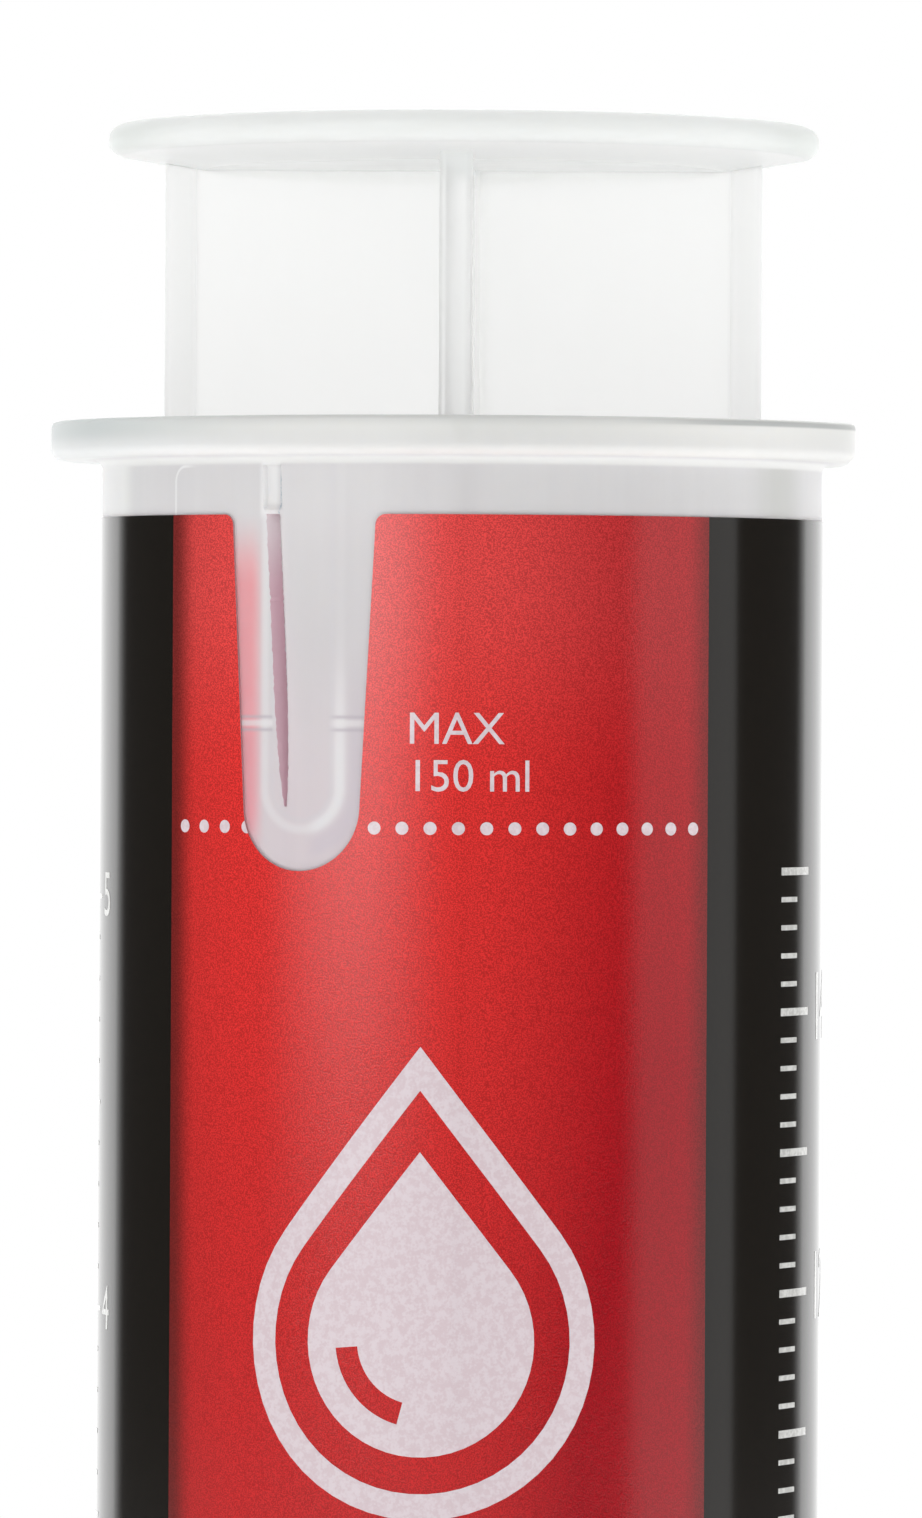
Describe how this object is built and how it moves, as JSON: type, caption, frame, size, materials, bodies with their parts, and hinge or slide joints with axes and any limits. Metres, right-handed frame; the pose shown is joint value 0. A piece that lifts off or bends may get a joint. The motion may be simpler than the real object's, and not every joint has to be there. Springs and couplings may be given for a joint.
{
  "type": "sealant injector syringe",
  "caption": "Hand syringe for injecting liquid sealant: round barrel with finger flange, vent slit and hose nozzle, printed wrap label, cross-ribbed plunger rod and rubber stopper.",
  "frame": {"origin": "on the barrel's axis at the nozzle's root, where a hose stops", "axes": "+Z along the barrel towards the thumb plate, the label's red front faces -Y"},
  "size_m": [0.047, 0.0484, 0.1948],
  "materials": {
    "natural_plastic": "milky natural polypropylene, satin",
    "label_film": "glossy printed film, red front on a black wrap",
    "white_plastic": "pale natural polypropylene, satin",
    "stopper_rubber": "moulded rubber, slightly oily sheen"
  },
  "bodies": {
    "barrel": {"barrel": "natural_plastic", "wrap_label": "label_film"},
    "stopper": {"stopper": "stopper_rubber"},
    "plunger": {"plunger_rod": "white_plastic"}
  },
  "joints": [
    {"name": "stopper_slide", "type": "slide", "parent": "barrel", "child": "stopper", "axis": [0, 0, 1], "range_m": [0, 0.152]},
    {"name": "rod_spin", "type": "hinge", "parent": "stopper", "child": "plunger", "pos_m": [0, 0, 0.0128], "axis": [0, 0, 1], "continuous": true}
  ]
}
